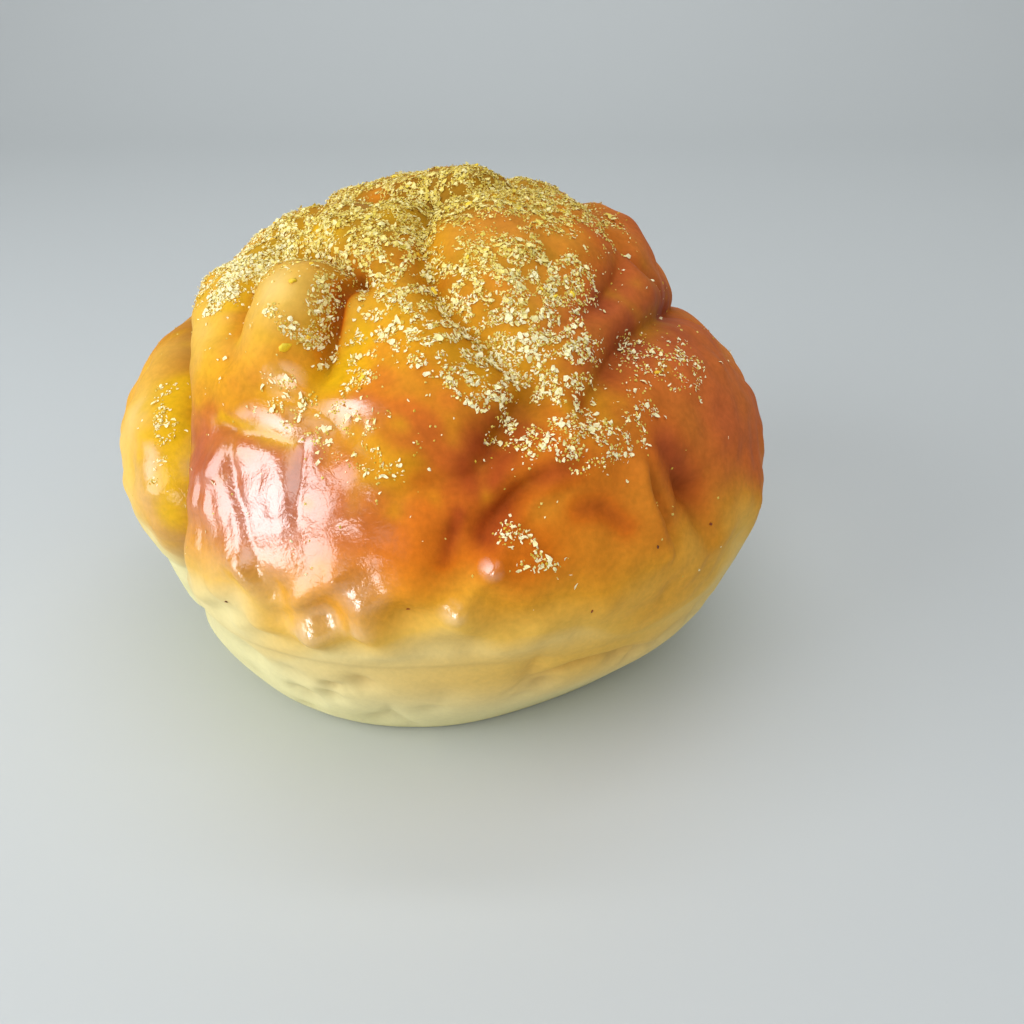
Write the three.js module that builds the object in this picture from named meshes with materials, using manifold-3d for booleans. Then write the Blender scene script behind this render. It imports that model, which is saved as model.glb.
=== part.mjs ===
// Artificial round loaf: one moulded body of puffed lobes with deep creases between them, standing
// on a flat base, with the largest of the flakes that are stuck to its crown fused on.
// Millimetres, +Z up, front towards -Y, origin at the middle of the base.
import * as THREE from 'three';
import { mergeVertices } from 'three/addons/utils/BufferGeometryUtils.js';
import Module from 'manifold-3d';

// Plain body
const WIDTH = 130; // across the widest place
const HEIGHT = 94; // from the base to the crown
const WAIST = 40; // height of the widest place
const UNDERSIDE_REACH = 62; // depth below the waist at which the rounded underside would close
const CROWN_ROUNDNESS = 1.74; // power of the profile above the waist, 2 being an ellipse
const UNDERSIDE_ROUNDNESS = 1.78; // the same below the waist
const BODY_SPLITS = 15; // splits of each edge of the icosahedron that gives the directions
const CROWN_BIAS = 0.35; // how far those directions are pulled up, where the creases are
const COLOUR = 0xcf8a3a;
const ROUGHNESS = 0.3;

// A place on the loaf is [azimuth, latitude] in degrees, seen from the middle of the waist.
// Azimuth 0 is the front and grows towards +X.

// Creases: depth at the start, middle and end, half-width, and a few places on the way.
const CREASES = [
  {
    name: 'left_rim', depth: [6, 10, 5.5], width: 4,
    way: [[-100, 27], [-82, 29], [-60, 23], [-48, 12], [-47, 0], [-53, -13]],
  },
  { name: 'left_back', depth: [4, 6, 1.2], width: 2.6, way: [[-74, 60], [-56, 47], [-41, 33]] },
  { name: 'knuckle_top', depth: [3, 4.5, 4.5], width: 2.3, way: [[-59, 51], [-43, 56], [-19, 52]] },
  {
    name: 'knuckle_pit', depth: [3, 2.6, 2], width: 1.6,
    way: [[-20, 54], [-22.5, 47], [-22.5, 40], [-20, 33]],
  },
  {
    name: 'central', depth: [4.2, 4.8, 4.5], width: 3.2,
    way: [[-1, 80], [-4, 65], [3, 50], [12, 40], [19, 30]],
  },
  { name: 'dome_foot', depth: [1.5, 3.6, 1], width: 2.8, way: [[66, 50], [58, 47], [42, 43], [27, 41]] },
  {
    name: 'right_valley', depth: [3.5, 5.6, 4], width: 3.2,
    way: [[130, 17], [116, 22], [98, 28], [72, 35.5], [45, 35], [28, 27]],
  },
  { name: 'front_groove', depth: [4.5, 6, 2], width: 3.4, way: [[19, 31], [12, 25], [8, 20]] },
  { name: 'front_tail', depth: [2, 1.4, 0.3], width: 2.6, way: [[8, 20], [1, 19], [-5, 17]] },
  { name: 'second_groove', depth: [1, 3.2, 0.8], width: 2.4, way: [[23, 20], [15, 18], [10, 14], [7, 8]] },
  { name: 'right_dent', depth: [1.5, 5, 1], width: 3.6, way: [[39, 19], [43, 10], [46, 0]] },
  { name: 'skin_fold', depth: [0.8, 1.5, 0.6], width: 1.8, way: [[-44, 26], [-36, 23], [-22, 23]] },
  { name: 'glue_band', depth: [0.6, 1.6, 0.6], width: 3, way: [[-37, 29], [-22, 29], [-7, 22]] },
  { name: 'top_back', depth: [3, 3, 4], width: 3, way: [[-1, 80], [42, 79], [101, 72]] },
  { name: 'back_right', depth: [4, 3, 1], width: 3.4, way: [[112, 62], [92, 59], [72, 55]] },
  { name: 'shelf', depth: [1.2, 2.4, 2.6], width: 2.6, way: [[70, 55], [70, 46], [77, 38]] },
  { name: 'back_a', depth: [3.5, 6, 1.5], width: 3.8, way: [[112, 62], [124, 46], [132, 28], [150, 12]] },
  {
    name: 'back_b', depth: [3.5, 6.5, 2], width: 4,
    way: [[150, 72], [164, 54], [177, 36], [172, 20], [181, 4]],
  },
  {
    name: 'back_c', depth: [3.5, 6, 2], width: 3.8,
    way: [[-110, 66], [-122, 50], [-136, 32], [-142, 14], [-136, 0]],
  },
  { name: 'back_d', depth: [2, 4.5, 3], width: 3.6, way: [[-72, 60], [-88, 48], [-96, 36], [-84, 30]] },
  { name: 'back_e', depth: [2, 4, 2], width: 3.2, way: [[-1, 80], [-60, 78], [-110, 66]] },
  { name: 'back_f', depth: [3, 4, 2], width: 3.2, way: [[101, 72], [150, 72], [210, 74], [250, 66]] },
  { name: 'back_g', depth: [1, 4, 3], width: 3.2, way: [[130, 34], [150, 40], [172, 44]] },
  { name: 'back_h', depth: [3, 3.5, 2.5], width: 3.2, way: [[177, 33], [195, 25], [210, 24], [222, 28]] },
  {
    name: 'back_i', depth: [3, 4.5, 1.5], width: 3.6,
    way: [[-128, 42], [-112, 30], [-104, 14], [-108, 0]],
  },
];
const CREASE_STEPS = 24; // straight steps along each crease
const CREASE_SOFTNESS = 0.2; // rounding of the bottom of a crease, as a share of its half-width
const CREASE_BLEND = 2.5; // power that blends creases where they cross
const GATHER_REACH = 0.08; // radians from a crease within which corners of faces are drawn to it
const GATHER_POWER = 2; // 1 leaves them in place

// Swellings, or flats where the height is negative: height, place, and reach across and up in degrees.
const SWELLINGS = [
  { name: 'knuckle', height: 3.4, place: [-37, 44], reach: [10, 10] },
  { name: 'knuckle_side', height: 4.6, place: [-28, 44], reach: [4.5, 8] },
  { name: 'pit', height: -6, place: [-18, 40.5], reach: [5.5, 6.5] },
  { name: 'dome', height: 2.4, place: [36, 57], reach: [26, 13] },
  { name: 'crown_left', height: 1.2, place: [-30, 66], reach: [25, 12] },
  { name: 'crown_edge', height: -0.8, place: [-75, 64], reach: [14, 7] },
  { name: 'back_top', height: 1.4, place: [100, 80], reach: [30, 10] },
  { name: 'top_left', height: -1.2, place: [-85, 82], reach: [10, 5] },
  { name: 'right_back', height: 2.7, place: [100, 52], reach: [13, 8] },
  { name: 'right', height: 2.6, place: [58, 15], reach: [15, 17] },
  { name: 'right_shoulder', height: -3, place: [92, 26], reach: [10, 7] },
  { name: 'right_back_foot', height: -2.6, place: [94, 40], reach: [10, 6] },
  { name: 'front_left', height: 3.8, place: [-20, 6], reach: [18, 12] },
  { name: 'front_facet', height: -1.8, place: [-22, 19], reach: [9, 8] },
  { name: 'front_right', height: 3.6, place: [24, 6], reach: [15, 10] },
  { name: 'crown_front', height: 3, place: [0, 31], reach: [14, 9] },
  { name: 'mid_right', height: 3, place: [24, 23], reach: [10, 5] },
  { name: 'far_left', height: 0.9, place: [-76, 14], reach: [13, 13] },
  { name: 'left_back', height: 1.2, place: [-74, 39], reach: [14, 10] },
  { name: 'left_flank', height: -1.8, place: [-57, -12], reach: [10, 7] },
  { name: 'left_hollow', height: -1.5, place: [-36, -20], reach: [6, 5] },
  { name: 'heel_left', height: 1.4, place: [-32, -34], reach: [14, 8] },
  { name: 'heel_right', height: -2, place: [28, -37], reach: [14, 9] },
  { name: 'heel_front', height: 0.5, place: [-6, -38], reach: [12, 7] },
  { name: 'flank_right', height: 0.7, place: [54, -20], reach: [12, 9] },
  { name: 'back_low', height: 2.5, place: [158, 8], reach: [16, 14] },
  { name: 'back_high', height: 2.5, place: [152, 50], reach: [12, 9] },
  { name: 'back_left', height: 3, place: [-160, 44], reach: [14, 10] },
  { name: 'heel_back', height: 2, place: [-164, 6], reach: [16, 12] },
  { name: 'left_low', height: 2, place: [-118, 14], reach: [14, 14] },
  { name: 'left_high', height: -0.6, place: [-102, 48], reach: [10, 7] },
  { name: 'left_shoulder', height: 1.2, place: [-118, 59], reach: [8, 5] },
];

// Flakes: bands that they are strewn over, with the band's half-width and how thickly they lie there.
const FLAKE_BANDS = [
  { name: 'crown', width: 15, cover: 1, way: [[-72, 55], [-30, 65], [20, 72], [70, 66]] },
  { name: 'crown_back', width: 15, cover: 0.9, way: [[110, 66], [170, 62], [230, 62], [280, 60]] },
  { name: 'centre', width: 11, cover: 1, way: [[-8, 56], [6, 47], [20, 36]] },
  { name: 'dome', width: 10, cover: 0.8, way: [[22, 60], [36, 48]] },
  { name: 'right_patch', width: 6, cover: 0.8, way: [[44, 34], [54, 27]] },
  { name: 'middle_patch', width: 5, cover: 1, way: [[14, 25], [28, 23], [38, 25]] },
  { name: 'knuckle_foot', width: 4, cover: 0.7, way: [[-38, 39], [-27, 39]] },
  { name: 'left_crease', width: 3, cover: 0.7, way: [[-62, 23], [-50, 14]] },
  { name: 'glue_band', width: 5, cover: 0.6, way: [[-25, 29], [-5, 22]] },
  { name: 'front', width: 3, cover: 0.5, way: [[12, 10], [20, 7]] },
  { name: 'back_fold', width: 5, cover: 0.6, way: [[134, 36], [172, 42], [210, 26]] },
  { name: 'left_fold', width: 5, cover: 0.5, way: [[-126, 44], [-108, 26]] },
];
const FLAKE_COUNT = 110;
const FLAKE_SPACING = 5; // least distance between the middles of two flakes
const FLAKE_LENGTH = { largest: 2.6, smallest: 1.8 };
const FLAKE_SLENDERNESS = 0.6; // width as a share of the length
const FLAKE_THICKNESS = 0.6;
const FLAKE_CURL = 0.5; // how far the ends stand up
const FLAKE_TAPER = 0.45; // share of the width that is lost at the ends
const FLAKE_SINK = 0.05; // how far the middle of a flake lies below the skin
const FLAKE_SEGMENTS = 3;
const FLAKE_SEED = 41;
const MOST_DRAWS = 40000;

const MIDDLE = new THREE.Vector3(0, 0, WAIST);
const UP = new THREE.Vector3(0, 0, 1);

// Unit vector from the middle of the waist towards a place.
function direction([azimuth, latitude]) {
  const a = THREE.MathUtils.degToRad(azimuth);
  const l = THREE.MathUtils.degToRad(latitude);
  return new THREE.Vector3(Math.cos(l) * Math.sin(a), -Math.cos(l) * Math.cos(a), Math.sin(l));
}

// Distance from the middle of the waist to the plain body: half a superellipse above, half below.
function plainRadius(d) {
  const above = d.z >= 0;
  const power = above ? CROWN_ROUNDNESS : UNDERSIDE_ROUNDNESS;
  const reach = above ? HEIGHT - WAIST : UNDERSIDE_REACH;
  const across = (Math.hypot(d.x, d.y) / (WIDTH / 2)) ** power;
  const upright = (Math.abs(d.z) / reach) ** power;
  return (across + upright) ** (-1 / power);
}

// Points on the unit sphere along a smooth way through a few places.
function smoothWay(places) {
  const curve = new THREE.CatmullRomCurve3(places.map(direction), false, 'catmullrom', 0.5);
  return curve.getPoints(CREASE_STEPS).map((p) => p.normalize());
}

// The point of a way on the unit sphere that is nearest to a direction, its distance, and the share
// of the way that lies before it.
function nearestOnWay(d, points) {
  const candidate = new THREE.Vector3();
  const point = new THREE.Vector3();
  const step = new THREE.Line3();
  let distance = Infinity;
  let share = 0;
  for (let k = 0; k < CREASE_STEPS; k += 1) {
    step.set(points[k], points[k + 1]);
    const along = step.closestPointToPointParameter(d, true);
    const gap = step.at(along, candidate).distanceTo(d);
    if (gap < distance) {
      distance = gap;
      share = (k + along) / CREASE_STEPS;
      point.copy(candidate);
    }
  }
  return { point, distance, share };
}

// Depth of one crease: a rounded V whose sides level out over a few half-widths.
function creaseDepth(crease, d, radius) {
  const { distance, share } = nearestOnWay(d, crease.points);
  const [start, middle, end] = crease.depth;
  const lerp = THREE.MathUtils.lerp;
  const deep = share < 0.5 ? lerp(start, middle, 2 * share) : lerp(middle, end, 2 * share - 1);
  const soft = CREASE_SOFTNESS * crease.width;
  const off = Math.hypot(distance * radius, soft) - soft;
  return deep * Math.exp(-off / crease.width);
}

// Height of one swelling: a bell over the plane that touches the sphere at its place.
function swellingHeight(swelling, d) {
  if (d.dot(swelling.centre) <= 0) return 0;
  const x = d.dot(swelling.east) / swelling.span[0];
  const y = d.dot(swelling.north) / swelling.span[1];
  return swelling.height * Math.exp(-(x * x + y * y) / 2);
}

// Distance from the middle of the waist to the skin of the loaf.
function loafRadius(d) {
  const plain = plainRadius(d);
  const carved = CREASES.reduce((sum, crease) => sum + creaseDepth(crease, d, plain) ** CREASE_BLEND, 0);
  const raised = SWELLINGS.reduce((sum, swelling) => sum + swellingHeight(swelling, d), 0);
  return plain + raised - carved ** (1 / CREASE_BLEND);
}

// Point of the skin in a direction.
function skinPoint(d) {
  return d.clone().multiplyScalar(loafRadius(d)).add(MIDDLE);
}

// A direction drawn towards the nearest crease, so that corners of faces lie along its bottom.
function gathered(d) {
  const hits = CREASES.map((crease) => nearestOnWay(d, crease.points));
  const nearest = hits.reduce((best, hit) => (hit.distance < best.distance ? hit : best));
  if (nearest.distance >= GATHER_REACH) return d;
  const share = (nearest.distance / GATHER_REACH) ** (GATHER_POWER - 1);
  return nearest.point.lerp(d, share).normalize();
}

// The library's solid for a closed geometry.
function toSolid(wasm, geometry) {
  geometry.deleteAttribute('normal');
  geometry.deleteAttribute('uv');
  const merged = mergeVertices(geometry);
  const vertProperties = new Float32Array(merged.attributes.position.array);
  const triVerts = new Uint32Array(merged.index.array);
  return new wasm.Manifold(new wasm.Mesh({ numProp: 3, vertProperties, triVerts }));
}

// A three.js geometry of a solid's faces.
function toGeometry(solid) {
  const mesh = solid.getMesh();
  const geometry = new THREE.BufferGeometry();
  geometry.setAttribute('position', new THREE.BufferAttribute(new Float32Array(mesh.vertProperties), 3));
  geometry.setIndex(new THREE.BufferAttribute(new Uint32Array(mesh.triVerts), 1));
  geometry.computeVertexNormals();
  return geometry;
}

// The loaf as a whole round body, its underside not yet flat.
function bodyGeometry() {
  const geometry = new THREE.IcosahedronGeometry(1, BODY_SPLITS);
  const position = geometry.attributes.position;
  const d = new THREE.Vector3();
  for (let i = 0; i < position.count; i += 1) {
    d.fromBufferAttribute(position, i);
    d.z += CROWN_BIAS;
    const p = skinPoint(gathered(d.normalize()));
    position.setXYZ(i, p.x, p.y, p.z);
  }
  return geometry;
}

// A slab that fills everything below the base.
function belowBaseGeometry() {
  const geometry = new THREE.BoxGeometry(2 * WIDTH, 2 * WIDTH, HEIGHT);
  geometry.translate(0, 0, -HEIGHT / 2);
  return geometry;
}

// One flake: a short strip with narrowed ends that curl up, lying on the plane z = 0.
function flakeGeometry(length) {
  const width = length * FLAKE_SLENDERNESS;
  const geometry = new THREE.BoxGeometry(length, width, FLAKE_THICKNESS, FLAKE_SEGMENTS, 1, 1);
  const position = geometry.attributes.position;
  for (let i = 0; i < position.count; i += 1) {
    const end = ((2 * position.getX(i)) / length) ** 2;
    position.setY(i, position.getY(i) * (1 - FLAKE_TAPER * end));
    position.setZ(i, position.getZ(i) + FLAKE_CURL * end - FLAKE_SINK);
  }
  return geometry;
}

// Seeded random numbers from 0 to 1.
function seededRandom(seed) {
  let state = seed;
  return () => {
    state = (state + 0x6d2b79f5) | 0;
    let t = Math.imul(state ^ (state >>> 15), 1 | state);
    t = (t + Math.imul(t ^ (t >>> 7), 61 | t)) ^ t;
    return ((t ^ (t >>> 14)) >>> 0) / 4294967296;
  };
}

// How thickly the flakes lie in a direction, from 0 to 1.
function flakeCover(d) {
  const radius = plainRadius(d);
  const covers = FLAKE_BANDS.map((band) => {
    const { distance } = nearestOnWay(d, band.points);
    return distance * radius < band.width ? band.cover : 0;
  });
  return Math.max(...covers);
}

// Directions of the flakes: drawn evenly over the sphere, kept by the cover and the spacing.
function flakeDirections(random) {
  const kept = [];
  const points = [];
  for (let draw = 0; draw < MOST_DRAWS && kept.length < FLAKE_COUNT; draw += 1) {
    const z = 2 * random() - 1;
    const turn = 2 * Math.PI * random();
    const chance = random();
    const level = Math.sqrt(1 - z * z);
    const d = new THREE.Vector3(level * Math.cos(turn), level * Math.sin(turn), z);
    if (chance >= flakeCover(d)) continue;
    const point = skinPoint(d);
    if (points.some((other) => other.distanceTo(point) < FLAKE_SPACING)) continue;
    kept.push(d);
    points.push(point);
  }
  return kept;
}

// The flakes, the largest first, each lying on the face of the body that is under it.
function flakeGeometries(body) {
  const random = seededRandom(FLAKE_SEED);
  const directions = flakeDirections(random);
  const probe = new THREE.Raycaster();
  return directions.map((d, i) => {
    probe.set(MIDDLE.clone().addScaledVector(d, WIDTH), d.clone().negate());
    const [{ point, face }] = probe.intersectObject(body);
    const { largest, smallest } = FLAKE_LENGTH;
    const geometry = flakeGeometry(THREE.MathUtils.lerp(largest, smallest, i / directions.length));
    const turn = new THREE.Quaternion().setFromAxisAngle(UP, 2 * Math.PI * random());
    const stand = new THREE.Quaternion().setFromUnitVectors(UP, face.normal);
    geometry.applyQuaternion(stand.multiply(turn));
    geometry.translate(point.x, point.y, point.z);
    return geometry;
  });
}

for (const band of [...CREASES, ...FLAKE_BANDS]) {
  band.points = smoothWay(band.way);
}
for (const swelling of SWELLINGS) {
  swelling.centre = direction(swelling.place);
  swelling.east = direction([swelling.place[0] + 90, 0]);
  swelling.north = new THREE.Vector3().crossVectors(swelling.centre, swelling.east).multiplyScalar(-1);
  swelling.span = swelling.reach.map((degrees) => Math.sin(THREE.MathUtils.degToRad(degrees)));
}

const wasm = await Module();
wasm.setup();

const body = new THREE.Mesh(bodyGeometry());
const flakes = flakeGeometries(body);
let solid = toSolid(wasm, body.geometry).subtract(toSolid(wasm, belowBaseGeometry()));
for (const geometry of flakes) {
  solid = solid.add(toSolid(wasm, geometry));
}

const loaf = new THREE.Mesh(
  toGeometry(solid),
  new THREE.MeshStandardMaterial({ color: COLOUR, roughness: ROUGHNESS, metalness: 0 }),
);
loaf.name = 'loaf';

const part = new THREE.Group();
part.add(loaf);

export default part;
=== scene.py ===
import math

import bpy
import numpy as np
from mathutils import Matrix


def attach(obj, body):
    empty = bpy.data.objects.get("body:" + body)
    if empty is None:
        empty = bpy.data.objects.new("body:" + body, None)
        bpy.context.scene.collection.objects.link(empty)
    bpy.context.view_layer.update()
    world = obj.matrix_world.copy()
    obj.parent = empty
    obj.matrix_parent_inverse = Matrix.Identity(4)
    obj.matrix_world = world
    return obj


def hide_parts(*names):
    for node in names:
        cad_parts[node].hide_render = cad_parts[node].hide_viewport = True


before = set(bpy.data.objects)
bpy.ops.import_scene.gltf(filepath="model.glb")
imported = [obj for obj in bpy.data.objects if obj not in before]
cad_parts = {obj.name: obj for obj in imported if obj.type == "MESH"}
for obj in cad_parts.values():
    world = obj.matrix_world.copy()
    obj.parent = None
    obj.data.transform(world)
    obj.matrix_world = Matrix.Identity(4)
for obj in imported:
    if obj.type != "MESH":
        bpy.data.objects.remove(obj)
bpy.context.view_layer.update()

MM = 0.001
GOLDEN_ANGLE = math.pi * (3 - math.sqrt(5))
RIPPLE_WAVES = 28
RIPPLE_SPREAD = (0.75, 0.5)        # shortest wave of a ripple, and the range above it, in lengths
RIPPLE_STEPS = (0.7549, 0.5698)    # steps that spread the waves' lengths and phases evenly

# Plain body, as in the part's source
WIDTH = 130.0
HEIGHT = 94.0
WAIST = 40.0
UNDERSIDE_REACH = 62.0
CROWN_ROUNDNESS = 1.74
UNDERSIDE_ROUNDNESS = 1.78
GRID_PULL = (0, -0.2, 0.25)    # draws the grid's directions forward and up, where the detail is
BODY_GRID = 126            # cells along each edge of the cube that gives the directions
GRAIN_GRID = 2             # the same for a crumb or speck
BASE_ROUNDING = 0.5        # rounding of the edge between flank and base

# A place is (azimuth, latitude) in degrees, seen from the middle of the waist. Azimuth 0 is the front.

# Creases: depth at the start, middle and end, half-width, and the places on the way
CREASES = {
    "left_rim": ((6, 10, 5.5), 4, [(-100, 27), (-82, 29), (-60, 23), (-48, 12), (-47, 0), (-53, -13)]),
    "left_back": ((4, 6, 1.2), 2.6, [(-74, 60), (-56, 47), (-41, 33)]),
    "knuckle_top": ((3, 4.5, 4.5), 2.3, [(-59, 51), (-43, 56), (-19, 52)]),
    "knuckle_pit": ((3, 2.6, 2), 1.6, [(-20, 54), (-22.5, 47), (-22.5, 40), (-20, 33)]),
    "central": ((4.2, 4.8, 4.5), 3.2, [(-1, 80), (-4, 65), (3, 50), (12, 40), (19, 30)]),
    "dome_foot": ((1.5, 3.6, 1), 2.8, [(66, 50), (58, 47), (42, 43), (27, 41)]),
    "right_valley": ((3.5, 5.6, 4), 3.2, [(130, 17), (116, 22), (98, 28), (72, 35.5), (45, 35), (28, 27)]),
    "front_groove": ((4.5, 6, 2), 3.4, [(19, 31), (12, 25), (8, 20)]),
    "front_tail": ((2, 1.4, 0.3), 2.6, [(8, 20), (1, 19), (-5, 17)]),
    "second_groove": ((1, 3.2, 0.8), 2.4, [(23, 20), (15, 18), (10, 14), (7, 8)]),
    "right_dent": ((1.5, 5, 1), 3.6, [(39, 19), (43, 10), (46, 0)]),
    "skin_fold": ((0.8, 1.5, 0.6), 1.8, [(-44, 26), (-36, 23), (-22, 23)]),
    "glue_band": ((0.6, 1.6, 0.6), 3, [(-37, 29), (-22, 29), (-7, 22)]),
    "top_back": ((3, 3, 4), 3, [(-1, 80), (42, 79), (101, 72)]),
    "back_right": ((4, 3, 1), 3.4, [(112, 62), (92, 59), (72, 55)]),
    "shelf": ((1.2, 2.4, 2.6), 2.6, [(70, 55), (70, 46), (77, 38)]),
    "back_a": ((3.5, 6, 1.5), 3.8, [(112, 62), (124, 46), (132, 28), (150, 12)]),
    "back_b": ((3.5, 6.5, 2), 4, [(150, 72), (164, 54), (177, 36), (172, 20), (181, 4)]),
    "back_c": ((3.5, 6, 2), 3.8, [(-110, 66), (-122, 50), (-136, 32), (-142, 14), (-136, 0)]),
    "back_d": ((2, 4.5, 3), 3.6, [(-72, 60), (-88, 48), (-96, 36), (-84, 30)]),
    "back_e": ((2, 4, 2), 3.2, [(-1, 80), (-60, 78), (-110, 66)]),
    "back_f": ((3, 4, 2), 3.2, [(101, 72), (150, 72), (210, 74), (250, 66)]),
    "back_g": ((1, 4, 3), 3.2, [(130, 34), (150, 40), (172, 44)]),
    "back_h": ((3, 3.5, 2.5), 3.2, [(177, 33), (195, 25), (210, 24), (222, 28)]),
    "back_i": ((3, 4.5, 1.5), 3.6, [(-128, 42), (-112, 30), (-104, 14), (-108, 0)]),
}
# Lesser folds of the skin, too fine for the solid
FOLDS = {
    "crown_under": ((0.8, 1.5, 0.8), 2.2, [(16, 45), (21, 43), (27, 40)]),
    "knuckle_line": ((0.8, 2.0, 0.8), 0.8, [(-20.5, 53), (-22.4, 49), (-22, 45), (-22, 39), (-20, 34)]),
    "small_groove": ((0.4, 1.2, 0.3), 1.4, [(5, 16), (4, 12), (3, 8)]),
    "arch": ((0.4, 1.4, 0.4), 1.8, [(22, 14), (26, 13), (29, 10)]),
    "right_line": ((0.6, 2.6, 0.8), 0.9, [(35.5, 18), (35.5, 14), (36.8, 9), (38.5, 3)]),
    "gloss_middle": ((0.8, 1.0, 0.5), 0.9, [(-20, 23), (-19, 18), (-18, 13)]),
    "gloss_left": ((0.5, 1.0, 0.6), 1.0, [(-34, 23), (-31, 16), (-26.5, 11), (-23, 5)]),
    "gloss_cross": ((0.2, 0.35, 0.2), 0.9, [(-26.5, 11.5), (-22, 12), (-18, 13.5)]),
    "gloss_outer": ((0.2, 0.5, 0.2), 1.0, [(-35.5, 17), (-34, 12), (-30, 7)]),
    "gloss_inner": ((0.2, 0.4, 0.2), 0.9, [(-31, 13), (-28.5, 9), (-26, 6)]),
    "dome_step": ((0.6, 1.4, 0.6), 2.2, [(35, 73), (43, 70), (51, 67)]),
    "left_pleat": ((0.3, 0.9, 0.3), 1.2, [(-38, 21), (-37, 12), (-34, 4)]),
    "low_fold": ((0.6, 2.4, 0.8), 1.1, [(13, -21), (18, -17.5), (24, -16), (33, -17), (45, -21)]),
    "low_crease": ((0.6, 1.7, 0.4), 2.0, [(15.5, -21), (16, -15), (17, -8)]),
    "heel_crease": ((0.4, 1.5, 0.8), 2.0, [(-8, -24), (-9, -30), (-6, -36)]),
    "back_pleat": ((0.3, 1.0, 0.3), 1.2, [(-172, 16), (-166, 8), (-168, 0)]),
    "side_pleat": ((0.3, 1.1, 0.3), 1.3, [(78, 22), (82, 12), (80, 2)]),
}
WAY_STEPS = 24
CREASE_SOFTNESS = 0.2
CREASE_BLEND = 2.5

# Swellings, or flats where the height is negative: height, place, reach across and up in degrees
SWELLINGS = {
    "knuckle": (3.4, (-37, 44), (10, 10)),
    "knuckle_side": (4.6, (-28, 44), (4.5, 8)),
    "pit": (-6, (-18, 40.5), (5.5, 6.5)),
    "dome": (2.4, (36, 57), (26, 13)),
    "crown_left": (1.2, (-30, 66), (25, 12)),
    "crown_edge": (-0.8, (-75, 64), (14, 7)),
    "back_top": (1.4, (100, 80), (30, 10)),
    "top_left": (-1.2, (-85, 82), (10, 5)),
    "right_back": (2.7, (100, 52), (13, 8)),
    "right": (2.6, (58, 15), (15, 17)),
    "right_shoulder": (-3, (92, 26), (10, 7)),
    "right_back_foot": (-2.6, (94, 40), (10, 6)),
    "front_left": (3.8, (-20, 6), (18, 12)),
    "front_facet": (-1.8, (-22, 19), (9, 8)),
    "front_right": (3.6, (24, 6), (15, 10)),
    "crown_front": (3, (0, 31), (14, 9)),
    "mid_right": (3, (24, 23), (10, 5)),
    "far_left": (0.9, (-76, 14), (13, 13)),
    "left_back": (1.2, (-74, 39), (14, 10)),
    "left_flank": (-1.8, (-57, -12), (10, 7)),
    "left_hollow": (-1.5, (-36, -20), (6, 5)),
    "heel_left": (1.4, (-32, -34), (14, 8)),
    "heel_right": (-2.0, (28, -37), (14, 9)),
    "heel_front": (0.5, (-6, -38), (12, 7)),
    "flank_right": (0.7, (54, -20), (12, 9)),
    "back_low": (2.5, (158, 8), (16, 14)),
    "back_high": (2.5, (152, 50), (12, 9)),
    "back_left": (3, (-160, 44), (14, 10)),
    "heel_back": (2, (-164, 6), (16, 12)),
    "left_low": (2, (-118, 14), (14, 14)),
    "left_high": (-0.6, (-102, 48), (10, 7)),
    "left_shoulder": (1.2, (-118, 59), (8, 5)),
}

# Mould's parting line round the lower flank
PARTING_LATITUDE = -11.0
PARTING_WANDER = 1.2       # degrees
PARTING_STEP = 0.5         # the foam just below it lies this far in
PARTING_DEPTH = 14.0       # degrees below it where the foam is back out
PARTING_BEAD = 0.15        # height of the fine ridge on it
PARTING_WIDTH = 0.7        # degrees
PARTING_CLEAR = -40        # azimuth where the line is clearest
PARTING_SHOWING = (0.45, 0.55)    # how clear it is on the whole, and how that swings round the loaf
PARTING_WAVES = ((1.0, 2, 0.7), (0.6, 5, 2.1), (0.3, 11, 0.0))    # share, turns round the loaf, phase
LUMP_START = (-1, 6)       # degrees above the line between which lumps begin

# Fine relief of the skin
LUMPS = ((14.0, 0.32), (6.0, 0.14))    # wavelength and height
WRINKLE_LENGTH = 7.0
WRINKLE_DEPTH = 0.08
WRINKLE_SHARPNESS = 0.3
DIMPLE_COUNT = 90
DIMPLE_SEED = 41
DIMPLE_REACH = (1.5, 4.0)
DIMPLE_DEPTH = (0.6, 2.0)
DIMPLE_MEAN = 0.3          # taken up by the foam between them
DIMPLE_LATITUDES = (-33, -14)
DIMPLE_START = (1, 5)      # degrees below the parting line between which they begin
KNOB_LENGTH = 8.0          # wavelength and height of the uneven lower front
KNOB_HEIGHT = 0.7

# Turns that set the ripples apart, in radians
KNOB_TURN = 4.0
WRINKLE_TURN = 2.0
FADE_TURN = 1.0
GLUE_TURN = 3.0
CLUMP_TURN = 5.0

BUMPS = [                  # single bumps that catch the light, and dents: height, place, reach in degrees
    (1.4, (-22.6, 32.2), (2.3, 2.2)),
    (0.8, (9, 18), (2.5, 1.8)),
    (0.7, (5, 14), (1.8, 1.8)),
    (1.5, (10.5, 6.5), (2.2, 2.0)),
    (1.6, (5.3, 1), (2.2, 2.0)),
    (2.0, (-6.4, 3.4), (2.4, 2.0)),
    (2.0, (-12.2, -2), (2.3, 2.0)),
    (1.9, (-15.2, -4.4), (2.1, 1.8)),
    (1.6, (-7.4, -2), (2.0, 1.8)),
    (-0.9, (-18, 1.5), (2.2, 1.8)),
    (-0.8, (-14, 3.5), (2.0, 1.8)),
    (-0.9, (-4, 1.5), (2.4, 2.2)),
    (-0.8, (-1, -1), (2.0, 2.0)),
    (-0.7, (-12, -5), (2.4, 1.8)),
    (0.8, (168, 6), (3, 3)),
    (-0.8, (160, 4), (3, 2.5)),
    (0.8, (-150, 12), (3, 3)),
    (-0.7, (-144, 8), (2.5, 2.5)),
]
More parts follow.
